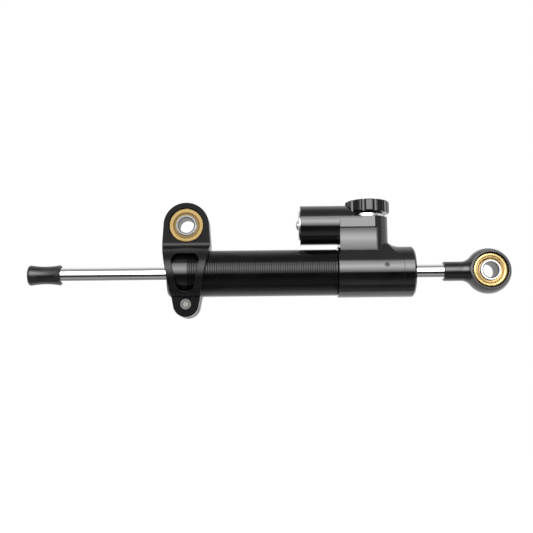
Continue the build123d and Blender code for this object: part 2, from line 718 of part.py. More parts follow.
# Reservoir plug: a plate with a spigot and ring that closes the reservoir
plug_plane = along_x(reservoir_x, z=reservoir_z)
plug_axis = Axis((0, 0, reservoir_z), (1, 0, 0))
plug_radius = reservoir_bore / 2 - seat_gap
plug_ring_start = plug_ring_from_flange
plug_ring_end = plug_ring_start + ring_width
with BuildPart() as reservoir_plug:
    spin(plug_plane, plug_axis, [
        (-plug_flange_thickness, fill_screw_diameter / 2 + seat_gap),
        (-plug_flange_thickness, plug_flange_diameter / 2 - edge_break),
        (edge_break - plug_flange_thickness, plug_flange_diameter / 2),
        (-seat_gap, plug_flange_diameter / 2), (-seat_gap, plug_radius),
        (plug_ring_start, plug_radius), (plug_ring_start, plug_radius - ring_depth),
        (plug_ring_end, plug_radius - ring_depth), (plug_ring_end, plug_radius),
        (plug_spigot_length, plug_radius), (plug_spigot_length, 0),
        (fill_screw_length, 0), (fill_screw_length, fill_screw_diameter / 2 + seat_gap)])
save(reservoir_plug, "reservoir_plug")

with BuildPart() as plug_ring:
    spin(plug_plane, plug_axis, [
        (plug_ring_start + seat_gap, plug_radius - ring_depth + seat_gap),
        (plug_ring_start + seat_gap, reservoir_bore / 2 - seat_gap),
        (plug_ring_end - seat_gap, reservoir_bore / 2 - seat_gap),
        (plug_ring_end - seat_gap, plug_radius - ring_depth + seat_gap)])
save(plug_ring, "reservoir_plug_ring")

# Fill screw: a dome-headed socket screw in the middle of the plug
with BuildPart() as fill_screw:
    screw_seat = Plane(origin=(reservoir_x - plug_flange_thickness - seat_gap, 0, reservoir_z),
                       x_dir=(0, 1, 0), z_dir=(-1, 0, 0))
    with BuildSketch(screw_seat):
        Circle(fill_screw_head_diameter / 2)
    extrude(amount=fill_screw_head_height)
    chamfer(fill_screw.faces().sort_by(Axis.X)[0].edges(), fill_screw_head_height - edge_break)
    with BuildSketch(screw_seat.offset(fill_screw_head_height)):
        RegularPolygon(fill_screw_socket / 2, 6)
    extrude(amount=-fill_screw_head_height, mode=Mode.SUBTRACT)
    with BuildSketch(screw_seat):
        Circle(fill_screw_diameter / 2)
    extrude(amount=-fill_screw_length)
save(fill_screw, "fill_screw")

# Floating piston: gas on its left, oil on its right, free to make room for warm oil
float_x = reservoir_x + plug_spigot_length + floating_piston_from_plug
float_radius = reservoir_bore / 2 - slide_gap
float_ring_start = (floating_piston_length - ring_width) / 2
float_ring_end = float_ring_start + ring_width
float_plane = along_x(float_x, z=reservoir_z)
with BuildPart() as floating_piston:
    spin(float_plane, plug_axis, [
        (0, 0), (0, float_radius), (float_ring_start, float_radius),
        (float_ring_start, float_radius - ring_depth), (float_ring_end, float_radius - ring_depth),
        (float_ring_end, float_radius), (floating_piston_length, float_radius),
        (floating_piston_length, 0)])
save(floating_piston, "floating_piston")

with BuildPart() as floating_ring:
    spin(float_plane, plug_axis, [
        (float_ring_start + seat_gap, float_radius - ring_depth + seat_gap),
        (float_ring_start + seat_gap, reservoir_bore / 2 - seat_gap),
        (float_ring_end - seat_gap, reservoir_bore / 2 - seat_gap),
        (float_ring_end - seat_gap, float_radius - ring_depth + seat_gap)])
save(floating_ring, "floating_piston_ring")

# Adjuster collar: polished disc screwed into the boss, it keeps the stem down
with BuildPart() as adjuster_collar:
    spin(valve_centre, knob_axis, [
        (stem_diameter / 2 + slide_gap, flange_top_z + seat_gap),
        (collar_spigot_diameter / 2, flange_top_z + seat_gap),
        (collar_spigot_diameter / 2, boss_top_z + seat_gap),
        (collar_diameter / 2, boss_top_z + seat_gap),
        (collar_diameter / 2, collar_top_z - edge_break),
        (collar_diameter / 2 - edge_break, collar_top_z),
        (stem_diameter / 2 + slide_gap, collar_top_z)])
    with BuildSketch(Plane.XY.offset(collar_top_z)):
        with Locations((knob_x + detent_radius, 0)):
            Circle(detent_pin_diameter / 2 + slide_gap)
    extrude(amount=-collar_height, mode=Mode.SUBTRACT)
save(adjuster_collar, "adjuster_collar")

# Knob: bevelled rim with flutes, a ring track for the detent below and a recess on top
with BuildPart() as adjuster_knob:
    knob_radius = knob_diameter / 2
    recess_z = knob_top_z - knob_recess_depth
    spin(valve_centre, knob_axis, [
        (0, knob_bottom_z), (detent_radius - detent_track_width / 2, knob_bottom_z),
        (detent_radius - detent_track_width / 2, knob_bottom_z + track_depth),
        (detent_radius + detent_track_width / 2, knob_bottom_z + track_depth),
        (detent_radius + detent_track_width / 2, knob_bottom_z),
        (knob_radius - knob_bevel, knob_bottom_z), (knob_radius, knob_bottom_z + knob_bevel),
        (knob_radius, knob_top_z - knob_bevel), (knob_radius - knob_bevel, knob_top_z),
        (knob_recess_diameter / 2, knob_top_z), (knob_recess_diameter / 2, recess_z),
        (0, recess_z)])
    with BuildSketch(Plane.XY.offset(knob_bottom_z)):
        with Locations((knob_x, 0)):
            with PolarLocations(knob_radius + knob_flute_radius - knob_flute_depth, knob_flute_count,
                                start_angle=180 / knob_flute_count):
                Circle(knob_flute_radius)
    extrude(amount=knob_height, mode=Mode.SUBTRACT)
    with BuildSketch(Plane.XY.offset(knob_bottom_z)) as hub:
        with Locations((knob_x, 0)):
            Circle(knob_hub_diameter / 2 + seat_gap)
        with Locations((knob_x, knob_hub_diameter - knob_hub_flat + seat_gap)):
            Rectangle(knob_hub_diameter * 2, knob_hub_diameter, mode=Mode.SUBTRACT)
    extrude(amount=knob_height, mode=Mode.SUBTRACT)
save(adjuster_knob, "adjuster_knob")

# Stem: flange under the collar, sealed barrel below it, and a left-hand thread in the needle
hub_top_z = recess_z - seat_gap
ring_mid_z = (seal_top_z + seal_bottom_z) / 2
stem_ring_floor = stem_seal_diameter / 2 - stem_ring_depth
with BuildPart() as adjuster_stem:
    spin(valve_centre, knob_axis, [
        (knob_screw_diameter / 2 + seat_gap, hub_top_z), (knob_hub_diameter / 2, hub_top_z),
        (knob_hub_diameter / 2, knob_bottom_z - seat_gap),
        (stem_diameter / 2, knob_bottom_z - seat_gap), (stem_diameter / 2, flange_top_z),
        (stem_flange_diameter / 2, flange_top_z), (stem_flange_diameter / 2, seal_top_z + slide_gap),
        (stem_seal_diameter / 2, seal_top_z + slide_gap),
        (stem_seal_diameter / 2, ring_mid_z + stem_ring_width / 2),
        (stem_ring_floor, ring_mid_z + stem_ring_width / 2),
        (stem_ring_floor, ring_mid_z - stem_ring_width / 2),
        (stem_seal_diameter / 2, ring_mid_z - stem_ring_width / 2),
        (stem_seal_diameter / 2, seal_bottom_z + edge_break),
        (stem_thread_diameter / 2, seal_bottom_z + edge_break),
        (stem_thread_diameter / 2, thread_end_z), (0, thread_end_z),
        (0, hub_top_z - knob_screw_length),
        (knob_screw_diameter / 2 + seat_gap, hub_top_z - knob_screw_length)])
    with BuildSketch(Plane.XY.offset(hub_top_z)):
        with Locations((knob_x, knob_hub_diameter - knob_hub_flat)):
            Rectangle(knob_hub_diameter * 2, knob_hub_diameter)
    extrude(amount=knob_bottom_z - seat_gap - hub_top_z, mode=Mode.SUBTRACT)
save(adjuster_stem, "adjuster_stem")

with BuildPart() as stem_ring:
    spin(valve_centre, knob_axis, [
        (stem_ring_floor + seat_gap, ring_mid_z - stem_ring_width / 2 + seat_gap),
        (stem_ring_floor + seat_gap, ring_mid_z + stem_ring_width / 2 - seat_gap),
        (seal_bore_radius - seat_gap, ring_mid_z + stem_ring_width / 2 - seat_gap),
        (seal_bore_radius - seat_gap, ring_mid_z - stem_ring_width / 2 + seat_gap)])
save(stem_ring, "stem_ring")

# Knob screw: low head in the knob's recess
with BuildPart() as knob_screw:
    with BuildSketch(Plane.XY.offset(recess_z + seat_gap)):
        with Locations((knob_x, 0)):
            Circle(knob_screw_head_diameter / 2)
    extrude(amount=knob_screw_head_height)
    chamfer(knob_screw.faces().sort_by(Axis.Z)[-1].edges(), edge_break)
    with BuildSketch(Plane.XY.offset(recess_z + knob_screw_head_height)):
        with Locations((knob_x, 0)):
            RegularPolygon(knob_screw_socket / 2, 6)
    extrude(amount=-knob_screw_head_height / 2, mode=Mode.SUBTRACT)
    with BuildSketch(Plane.XY.offset(recess_z + seat_gap)):
        with Locations((knob_x, 0)):
            Circle(knob_screw_diameter / 2)
    extrude(amount=seat_gap + edge_break - knob_screw_length)
save(knob_screw, "knob_screw")

# Needle: slides without turning as the stem's thread lifts or lowers it over the orifice
with BuildPart() as needle_valve:
    thread_radius = stem_thread_diameter / 2 + running_gap
    spin(valve_centre, knob_axis, [
        (thread_radius, needle_top_z), (needle_radius, needle_top_z), (needle_radius, needle_cone_z),
        (needle_cone_diameter / 2, needle_cone_z), (needle_tip_diameter / 2, needle_tip_z),
        (0, needle_tip_z), (0, needle_floor_z), (thread_radius, needle_floor_z)])
    with BuildSketch(Plane.XY.offset(needle_cone_z)):
        with Locations((knob_x, needle_diameter - needle_flat_depth)):
            Rectangle(2 * needle_diameter, needle_diameter)
        with Locations((knob_x - needle_diameter + needle_flat_depth, 0)):
            Rectangle(needle_diameter, 2 * needle_diameter)
    extrude(amount=needle_top_z - needle_cone_z, mode=Mode.SUBTRACT)
save(needle_valve, "needle_valve")

# Detent: a sprung pin that bears on the knob's track
pin_top_z = collar_top_z + detent_pin_rise
pin_foot_z = pin_top_z - detent_pin_length
with BuildPart() as detent_pin:
    with BuildSketch(Plane.XY.offset(pin_foot_z)):
        with Locations((knob_x + detent_radius, 0)):
            Circle(detent_pin_diameter / 2)
    extrude(amount=detent_pin_length)
    chamfer(detent_pin.faces().sort_by(Axis.Z)[-1].edges(), detent_pin_rise - knob_gap)
save(detent_pin, "detent_pin")

spring_foot_z = boss_top_z - detent_pocket_depth + seat_gap
coil_radius = (detent_pin_diameter - detent_spring_wire) / 2
coil_rise = pin_foot_z - seat_gap - spring_foot_z - detent_spring_wire
with BuildPart() as detent_spring:
    with BuildLine(Plane(origin=(knob_x + detent_radius, 0, spring_foot_z + detent_spring_wire / 2))) as coil:
        Helix(coil_rise / detent_spring_turns, coil_rise, coil_radius)
    with BuildSketch(Plane(coil.wire() @ 0, z_dir=coil.wire() % 0)) as wire:
        Rectangle(detent_spring_wire, detent_spring_wire)
    sweep(wire.sketch, path=coil.wire(), is_frenet=True)
save(detent_spring, "detent_spring")
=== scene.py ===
from math import asin, cos, pi, radians, sin

import bmesh
import bpy
from mathutils import Matrix, Vector


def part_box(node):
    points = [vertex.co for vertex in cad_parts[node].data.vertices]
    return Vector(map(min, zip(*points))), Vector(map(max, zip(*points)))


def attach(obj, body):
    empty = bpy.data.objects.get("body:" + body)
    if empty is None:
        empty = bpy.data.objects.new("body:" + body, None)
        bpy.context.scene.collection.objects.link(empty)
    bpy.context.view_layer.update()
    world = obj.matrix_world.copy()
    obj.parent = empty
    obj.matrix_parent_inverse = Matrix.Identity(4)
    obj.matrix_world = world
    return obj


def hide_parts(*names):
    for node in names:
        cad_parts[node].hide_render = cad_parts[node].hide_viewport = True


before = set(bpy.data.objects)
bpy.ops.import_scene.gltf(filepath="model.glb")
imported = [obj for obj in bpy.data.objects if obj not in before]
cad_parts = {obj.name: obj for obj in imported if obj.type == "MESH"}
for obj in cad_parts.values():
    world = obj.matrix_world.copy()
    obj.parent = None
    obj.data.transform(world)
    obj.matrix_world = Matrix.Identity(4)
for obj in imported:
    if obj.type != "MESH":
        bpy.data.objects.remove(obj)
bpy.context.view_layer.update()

# Barrel tube
# The outer tube of drawn aluminium, turned with fine rings along its whole shown length and
# then black anodised. It screws into the head at one end and holds the end gland at the other.
barrel_low, barrel_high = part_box("barrel_tube")
barrel_axis_z = (barrel_low[2] + barrel_high[2]) / 2
barrel_radius = (barrel_high[2] - barrel_low[2]) / 2
barrel_shown = 0.0787
barrel_sides = 120
inner_tube_low, inner_tube_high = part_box("inner_tube")
oil_space = 0.0012
barrel_bore_radius = (inner_tube_high[2] - inner_tube_low[2]) / 2 + oil_space
head_gland_low, head_gland_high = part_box("head_gland")
head_radius = (head_gland_high[2] - head_gland_low[2]) / 2
socket_wall = 0.0023
socket_clearance = 0.00003
ring_pitch = 0.00118
ring_depth = 0.00013
ring_land_share = 0.64
relief_width = 0.0007
relief_depth = 0.0006
sharp_corner = radians(28)


def turned_piece(name, outline, axis_point, axis, sides):
    """Spin a closed outline of (along, radius) points about a level axis into a round mesh."""
    axis = Vector(axis)
    up = Vector((0, 0, 1))
    across = axis.cross(up)
    turns = [2 * pi * k / sides for k in range(sides)]
    shape = bmesh.new()
    rings = []
    for along, radius in outline:
        centre = Vector(axis_point) + axis * along
        rings.append([shape.verts.new(centre + radius * (up * cos(turn) + across * sin(turn)))
                      for turn in turns])
    for one, two in zip(rings, rings[1:] + rings[:1]):
        for k in range(sides):
            after = (k + 1) % sides
            shape.faces.new((one[k], one[after], two[after], two[k]))
    bmesh.ops.recalc_face_normals(shape, faces=shape.faces)
    for face in shape.faces:
        face.smooth = True
    mesh = bpy.data.meshes.new(name)
    shape.to_mesh(mesh)
    shape.free()
    mesh.set_sharp_from_angle(angle=sharp_corner)
    piece = bpy.data.objects.new(name, mesh)
    bpy.context.scene.collection.objects.link(piece)
    return piece


barrel_start_x = barrel_low[0]
barrel_shown_end_x = barrel_start_x + barrel_shown
relief_x = barrel_shown_end_x - relief_width
ring_count = round((relief_x - barrel_start_x) / ring_pitch)
ring_step = (relief_x - barrel_start_x) / ring_count
socket_radius = head_radius - socket_wall - socket_clearance
barrel_outline = [(barrel_start_x, barrel_bore_radius)]
for ring in range(ring_count):
    start = barrel_start_x + ring * ring_step
    barrel_outline += [(start, barrel_radius - ring_depth),
                       (start + ring_step * (1 - ring_land_share) / 2, barrel_radius),
                       (start + ring_step * (1 + ring_land_share) / 2, barrel_radius)]
barrel_outline += [(relief_x, barrel_radius),
                   (relief_x + relief_width / 2, barrel_radius - relief_depth),
                   (barrel_shown_end_x, barrel_radius),
                   (barrel_high[0], socket_radius), (barrel_high[0], barrel_bore_radius)]
barrel = turned_piece("barrel_with_rings", barrel_outline, (0, 0, barrel_axis_z), (1, 0, 0),
                      barrel_sides)
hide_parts("barrel_tube")
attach(barrel, "damper")


def new_group(name, inputs, outputs):
    """Start a shader node group with named inputs, given as name, kind and default, and outputs."""
    group = bpy.data.node_groups.new(name, "ShaderNodeTree")
    for title, kind, default in inputs:
        socket = group.interface.new_socket(title, in_out="INPUT", socket_type=kind)
        socket.default_value = default
    for title, kind in outputs:
        group.interface.new_socket(title, in_out="OUTPUT", socket_type=kind)
    return group, group.nodes.new("NodeGroupInput"), group.nodes.new("NodeGroupOutput")


# Tool marks: fine lines that run with the cut, given as lines to the metre along each axis, and
# broader streaks that run the same way
mark_size = 1.0
streak_share = 0.22
tool_marks, marks_in, marks_out = new_group(
    "tool_marks",
    [("Lines", "NodeSocketVector", (2000.0, 40.0, 40.0)), ("Detail", "NodeSocketFloat", 3.0)],
    [("Height", "NodeSocketFloat"), ("Streak", "NodeSocketFloat")])
marks_place = tool_marks.nodes.new("ShaderNodeTexCoord")
marks_stretch = tool_marks.nodes.new("ShaderNodeVectorMath")
marks_stretch.operation = "MULTIPLY"
marks_noise = tool_marks.nodes.new("ShaderNodeTexNoise")
marks_noise.inputs["Scale"].default_value = mark_size
marks_wide = tool_marks.nodes.new("ShaderNodeVectorMath")
marks_wide.operation = "SCALE"
marks_wide.inputs["Scale"].default_value = streak_share
marks_streak = tool_marks.nodes.new("ShaderNodeTexNoise")
marks_streak.inputs["Scale"].default_value = mark_size
marks_streak.inputs["Detail"].default_value = 2.0
tool_marks.links.new(marks_place.outputs["Object"], marks_stretch.inputs[0])
tool_marks.links.new(marks_in.outputs["Lines"], marks_stretch.inputs[1])
tool_marks.links.new(marks_stretch.outputs[0], marks_noise.inputs["Vector"])
tool_marks.links.new(marks_in.outputs["Detail"], marks_noise.inputs["Detail"])
tool_marks.links.new(marks_stretch.outputs[0], marks_wide.inputs[0])
tool_marks.links.new(marks_wide.outputs[0], marks_streak.inputs["Vector"])
tool_marks.links.new(marks_noise.outputs["Fac"], marks_out.inputs["Height"])
tool_marks.links.new(marks_streak.outputs["Fac"], marks_out.inputs["Streak"])

# Handling: cloudy patches where hands and oil have touched, from 0 to 1, and fine specks of dust
dust_fineness = 2600.0
handling, handling_in, handling_out = new_group(
    "handling", [("Size", "NodeSocketFloat", 0.012)],
    [("Patch", "NodeSocketFloat"), ("Speck", "NodeSocketFloat")])
handling_place = handling.nodes.new("ShaderNodeTexCoord")
handling_per_metre = handling.nodes.new("ShaderNodeMath")
handling_per_metre.operation = "DIVIDE"
handling_per_metre.inputs[0].default_value = 1.0
handling_cloud = handling.nodes.new("ShaderNodeTexNoise")
handling_cloud.inputs["Detail"].default_value = 5.0
handling_range = handling.nodes.new("ShaderNodeMapRange")
handling_range.inputs["From Min"].default_value = 0.35
handling_range.inputs["From Max"].default_value = 0.68
handling_dust = handling.nodes.new("ShaderNodeTexNoise")
handling_dust.inputs["Scale"].default_value = dust_fineness
handling_dust.inputs["Detail"].default_value = 2.0
handling.links.new(handling_in.outputs["Size"], handling_per_metre.inputs[1])
handling.links.new(handling_place.outputs["Object"], handling_cloud.inputs["Vector"])
handling.links.new(handling_per_metre.outputs[0], handling_cloud.inputs["Scale"])
handling.links.new(handling_cloud.outputs["Fac"], handling_range.inputs["Value"])
handling.links.new(handling_place.outputs["Object"], handling_dust.inputs["Vector"])
handling.links.new(handling_range.outputs["Result"], handling_out.inputs["Patch"])
handling.links.new(handling_dust.outputs["Fac"], handling_out.inputs["Speck"])

# Edge wear: a mask of the sharp edges, and a normal that rounds them a little
edge_wear, wear_in, wear_out = new_group(
    "edge_wear",
    [("Radius", "NodeSocketFloat", 0.0003), ("Reach", "NodeSocketFloat", 0.35)],
    [("Edge", "NodeSocketFloat"), ("Rounded", "NodeSocketVector")])
wear_round = edge_wear.nodes.new("ShaderNodeBevel")
wear_round.samples = 8
wear_face = edge_wear.nodes.new("ShaderNodeNewGeometry")
wear_turn = edge_wear.nodes.new("ShaderNodeVectorMath")
wear_turn.operation = "DOT_PRODUCT"
wear_least = edge_wear.nodes.new("ShaderNodeMath")
wear_least.operation = "SUBTRACT"
wear_least.inputs[0].default_value = 1.0
wear_mask = edge_wear.nodes.new("ShaderNodeMapRange")
wear_mask.inputs["From Min"].default_value = 1.0
edge_wear.links.new(wear_in.outputs["Radius"], wear_round.inputs["Radius"])
edge_wear.links.new(wear_round.outputs["Normal"], wear_turn.inputs[0])
edge_wear.links.new(wear_face.outputs["Normal"], wear_turn.inputs[1])
edge_wear.links.new(wear_turn.outputs["Value"], wear_mask.inputs["Value"])
edge_wear.links.new(wear_in.outputs["Reach"], wear_least.inputs[1])
edge_wear.links.new(wear_least.outputs[0], wear_mask.inputs["From Max"])
edge_wear.links.new(wear_mask.outputs["Result"], wear_out.inputs["Edge"])
edge_wear.links.new(wear_round.outputs["Normal"], wear_out.inputs["Rounded"])

metal_patch_size = 0.012
metal_stain = 0.12


def metal_finish(name, colour, worn, roughness, metallic, refraction, lines, mark_height,
                 edge=0.35, edge_radius=0.0003, patch=0.05, streak=0.08):
    """Material of a worked metal: tool marks, cloudy handling and lighter edges on one shader."""
    material = bpy.data.materials.new(name)
    material.use_nodes = True
    tree = material.node_tree
    shader = tree.nodes["Principled BSDF"]
    shader.inputs["Metallic"].default_value = metallic
    shader.inputs["IOR"].default_value = refraction
    marks = tree.nodes.new("ShaderNodeGroup")
    marks.node_tree = tool_marks
    marks.inputs["Lines"].default_value = lines
    touch = tree.nodes.new("ShaderNodeGroup")
    touch.node_tree = handling
    touch.inputs["Size"].default_value = metal_patch_size
    wear = tree.nodes.new("ShaderNodeGroup")
    wear.node_tree = edge_wear
    wear.inputs["Radius"].default_value = edge_radius
    worn_share = tree.nodes.new("ShaderNodeMath")
    worn_share.operation = "MULTIPLY"
    worn_share.inputs[1].default_value = edge
    stained = tree.nodes.new("ShaderNodeMath")
    stained.operation = "MULTIPLY_ADD"
    stained.inputs[1].default_value = metal_stain
    paint = tree.nodes.new("ShaderNodeMix")
    paint.data_type = "RGBA"
    paint.inputs["A"].default_value = (*colour, 1)
    paint.inputs["B"].default_value = (*worn, 1)
    tree.links.new(wear.outputs["Edge"], worn_share.inputs[0])
    tree.links.new(touch.outputs["Patch"], stained.inputs[0])
    tree.links.new(worn_share.outputs[0], stained.inputs[2])
    tree.links.new(stained.outputs[0], paint.inputs["Factor"])
    tree.links.new(paint.outputs["Result"], shader.inputs["Base Color"])
    rough_patch = tree.nodes.new("ShaderNodeMath")
    rough_patch.operation = "MULTIPLY_ADD"
    rough_patch.inputs[1].default_value = patch
    rough_patch.inputs[2].default_value = roughness
    rough_streak = tree.nodes.new("ShaderNodeMath")
    rough_streak.operation = "MULTIPLY_ADD"
    rough_streak.inputs[1].default_value = streak
    tree.links.new(touch.outputs["Patch"], rough_patch.inputs[0])
    tree.links.new(marks.outputs["Streak"], rough_streak.inputs[0])
    tree.links.new(rough_patch.outputs[0], rough_streak.inputs[2])
    tree.links.new(rough_streak.outputs[0], shader.inputs["Roughness"])
    relief = tree.nodes.new("ShaderNodeBump")
    relief.inputs["Distance"].default_value = mark_height
    tree.links.new(marks.outputs["Height"], relief.inputs["Height"])
    tree.links.new(wear.outputs["Rounded"], relief.inputs["Normal"])
    tree.links.new(relief.outputs["Normal"], shader.inputs["Normal"])
    return material


def finish_with(material, *names):
    """Give CAD nodes or pieces one material in all their slots."""
    for name in names:
        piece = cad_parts.get(name) or bpy.data.objects[name]
        if not piece.material_slots:
            piece.data.materials.append(material)
        for place in piece.material_slots:
            place.material = material


ring_finish = metal_finish(
    "black_anodise_rings", colour=(0.0025, 0.0025, 0.003), worn=(0.02, 0.02, 0.021),
    roughness=0.1, metallic=0.0, refraction=1.32, lines=(2500.0, 60.0, 60.0),
    mark_height=0.000002, edge=0.25, edge_radius=0.00008, streak=0.05)
finish_with(ring_finish, "barrel_with_rings")

# End gland, head gland and head block
# Bar aluminium, turned and milled, then black anodised to a satin black. The end gland plugs the
# barrel and the head gland the head, which has the reservoir, the web and the knob's boss on it.
satin_black = metal_finish(
    "black_anodise_satin", colour=(0.003, 0.003, 0.0034), worn=(0.03, 0.03, 0.031),
    roughness=0.06, metallic=0.0, refraction=1.6, lines=(2600.0, 50.0, 50.0),
    mark_height=0.0000012, edge=0.4, patch=0.03, streak=0.05)
finish_with(satin_black, "head_gland", "head_block")
gland_black = metal_finish(
    "black_anodise_gland", colour=(0.003, 0.003, 0.0034), worn=(0.03, 0.03, 0.031),
    roughness=0.1, metallic=0.0, refraction=1.5, lines=(2600.0, 50.0, 50.0),
    mark_height=0.0000012, edge=0.4, patch=0.03, streak=0.05)
finish_with(gland_black, "end_gland")

# Clamp bracket
# Milled from plate, black anodised. Its split band grips the barrel when the bolt draws the two
# ears together, and its eye holds the bearing that bolts to the frame.
bracket_black = metal_finish(
    "black_anodise_milled", colour=(0.005, 0.005, 0.0056), worn=(0.05, 0.05, 0.051),
    roughness=0.18, metallic=0.0, refraction=1.3, lines=(300.0, 300.0, 1800.0),
    mark_height=0.0000016, edge=0.5, edge_radius=0.0004)
finish_with(bracket_black, "clamp_bracket")

# Clamp bolt
# A small stainless socket screw, sunk in the front ear and threaded into the rear one.
bolt_steel = metal_finish(
    "stainless_bolt", colour=(0.42, 0.41, 0.39), worn=(0.95, 0.94, 0.92),
    roughness=0.2, metallic=1.0, refraction=1.5, lines=(900.0, 900.0, 900.0),
    mark_height=0.000002, edge=1.0, edge_radius=0.0004)
finish_with(bolt_steel, "clamp_bolt")

# Bearing races
# Turned brass-coloured rings pressed into the clamp and the rod end: a crowned bead between a
# fine groove outside and a lead-in to the hollow round seat for the ball.
bearing_axis = (0, 1, 0)
bearing_sides = 96
seat_play = 0.00003
seat_facets = 6
race_groove = 0.0004
race_groove_depth = 0.001
race_groove_reach = 1.2
race_lead = 0.0014
bead_half = 0.00095
bead_turn = radians(50)
bead_facets = 4


def bearing_size(node):
    """Centre, radius and half width of a CAD race or ball."""
    low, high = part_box(node)
    centre = Vector([(low[k] + high[k]) / 2 for k in range(3)])
    return centre, (high[2] - low[2]) / 2, (high[1] - low[1]) / 2


def race_ring(name, node, ball_node, body):
    """A race in place of a CAD node, its seat struck from the size of the ball."""
    centre, outer, half = bearing_size(node)
    rim = [(half - race_groove_depth, outer), (half - race_groove_depth, outer - race_groove)]
    crown = bead_half / sin(bead_turn)
    bead_at = outer - race_groove - bead_half
    for k in range(-bead_facets, bead_facets + 1):
        turn = bead_turn * k / bead_facets
        rim.append((half - crown * (1 - cos(turn)), bead_at - crown * sin(turn)))
    ball_radius = bearing_size(ball_node)[1]
    seat = ball_radius + seat_play
    seat_turn = asin((half - race_lead) / seat)
    turns = [seat_turn * k / seat_facets for k in range(seat_facets, -seat_facets - 1, -1)]
    seat_line = [(seat * sin(turn), seat * cos(turn)) for turn in turns]
    outline = [(-along, radius) for along, radius in reversed(rim)] + rim + seat_line
    ring = turned_piece(name, outline, centre, bearing_axis, bearing_sides)
    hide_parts(node)
    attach(ring, body)


def paint_groove_shade(name, node, material):
    """Give the bottom of the groove round a race the bracket's black: painted shade in the groove.
    """
    ring = bpy.data.objects[name]
    ring.data.materials.append(material)
    centre, outer, half = bearing_size(node)
    for face in ring.data.polygons:
        away = face.center - centre
        in_groove = Vector((away.x, away.z)).length > outer - race_groove * race_groove_reach
        face.material_index = int(in_groove and abs(away.y) < half - race_groove_depth / 2)


race_ring("clamp_race_turned", "clamp_race", "clamp_ball", "clamp")
race_ring("rod_end_race_turned", "rod_end_race", "rod_end_ball", "rod_end")
race_gold = metal_finish(
    "race_gold", colour=(0.66, 0.46, 0.19), worn=(0.85, 0.66, 0.36),
    roughness=0.36, metallic=1.0, refraction=1.5, lines=(500.0, 3000.0, 500.0),
    mark_height=0.0000005, edge=0.2, edge_radius=0.0)
finish_with(race_gold, "clamp_race_turned", "rod_end_race_turned")
# The bottoms of the race grooves take the bracket's black material as painted shade.
paint_groove_shade("clamp_race_turned", "clamp_race", bracket_black)
paint_groove_shade("rod_end_race_turned", "rod_end_race", bracket_black)

# Bearing balls
# Hardened, ground steel balls with two flat faces and a through bore, broken at both ends, free
# to turn in the races.
ball_bore_radius = 0.00405
ball_break = 0.0005
ball_break_inset = 0.2
ball_facets = 14


def bored_ball(name, node, body):
    """A ball in place of a CAD node, with a finer round."""
    centre, radius, half = bearing_size(node)
    turns = [asin(half / radius) * (k / ball_facets) for k in range(-ball_facets, ball_facets + 1)]
    outline = [(radius * sin(turn), radius * cos(turn)) for turn in turns]
    outline += [(half, ball_bore_radius + ball_break), (half - ball_break, ball_bore_radius),
                (ball_break - half, ball_bore_radius), (-half, ball_bore_radius + ball_break)]
    ball = turned_piece(name, outline, centre, bearing_axis, bearing_sides)
    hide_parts(node)
    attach(ball, body)


def shade_ball_bore(name, node, material):
    """Give the bore of a ball, and the break at its two ends, a darker steel as painted shade."""
    ball = bpy.data.objects[name]
    ball.data.materials.append(material)
    centre, _, half = bearing_size(node)
    for face in ball.data.polygons:
        away = face.center - centre
        inner = Vector((away.x, away.z)).length < ball_bore_radius + ball_break
        face.material_index = int(inner and abs(away.y) < half - ball_break * ball_break_inset)


bored_ball("clamp_ball_ground", "clamp_ball", "clamp_ball")
bored_ball("rod_end_ball_ground", "rod_end_ball", "rod_end_ball")
ball_steel = metal_finish(
    "ball_steel", colour=(0.56, 0.56, 0.565), worn=(0.75, 0.75, 0.75),
    roughness=0.12, metallic=1.0, refraction=1.5, lines=(400.0, 2500.0, 400.0),
    mark_height=0.0000006, edge=0.3, edge_radius=0.0, patch=0.03, streak=0.04)
finish_with(ball_steel, "clamp_ball_ground", "rod_end_ball_ground")
# The bore and the breaks at its ends get a darker steel: painted shade in the hole.
bore_painted_shade = metal_finish(
    "ball_bore_painted_shade", colour=(0.16, 0.155, 0.15), worn=(0.3, 0.3, 0.3),
    roughness=0.38, metallic=1.0, refraction=1.5, lines=(400.0, 2500.0, 400.0),
    mark_height=0.000002, edge=0.1, edge_radius=0.0)
shade_ball_bore("clamp_ball_ground", "clamp_ball", bore_painted_shade)
shade_ball_bore("rod_end_ball_ground", "rod_end_ball", bore_painted_shade)

# Piston rod
# Ground steel bar with a hard chrome skin, polished to a mirror so that the seals last.
rod_chrome = metal_finish(
    "rod_hard_chrome", colour=(0.84, 0.84, 0.86), worn=(0.9, 0.9, 0.9),
    roughness=0.07, metallic=1.0, refraction=1.5, lines=(3000.0, 80.0, 80.0),
    mark_height=0.0000004, edge=0.3, patch=0.03, streak=0.03)
finish_with(rod_chrome, "piston_rod")

# Rod cap
# A waisted sleeve of black rubber, moulded with a closed end and a flared lip, pushed on the rod.
rubber_black = (0.008, 0.008, 0.008, 1)
rubber_bloom = (0.018, 0.018, 0.018, 1)
rubber_patch_size = 0.006
rubber_grain = 0.000004
rubber = bpy.data.materials.new("black_rubber_moulded")
rubber.use_nodes = True
rubber_tree = rubber.node_tree
rubber_shader = rubber_tree.nodes["Principled BSDF"]
rubber_shader.inputs["IOR"].default_value = 1.55
rubber_touch = rubber_tree.nodes.new("ShaderNodeGroup")
rubber_touch.node_tree = handling
rubber_touch.inputs["Size"].default_value = rubber_patch_size
rubber_shade = rubber_tree.nodes.new("ShaderNodeMix")
rubber_shade.data_type = "RGBA"
rubber_shade.inputs["A"].default_value = rubber_black
rubber_shade.inputs["B"].default_value = rubber_bloom
rubber_rough = rubber_tree.nodes.new("ShaderNodeMapRange")
rubber_rough.inputs["To Min"].default_value = 0.26
rubber_rough.inputs["To Max"].default_value = 0.4
rubber_relief = rubber_tree.nodes.new("ShaderNodeBump")
rubber_relief.inputs["Distance"].default_value = rubber_grain
rubber_tree.links.new(rubber_touch.outputs["Patch"], rubber_shade.inputs["Factor"])
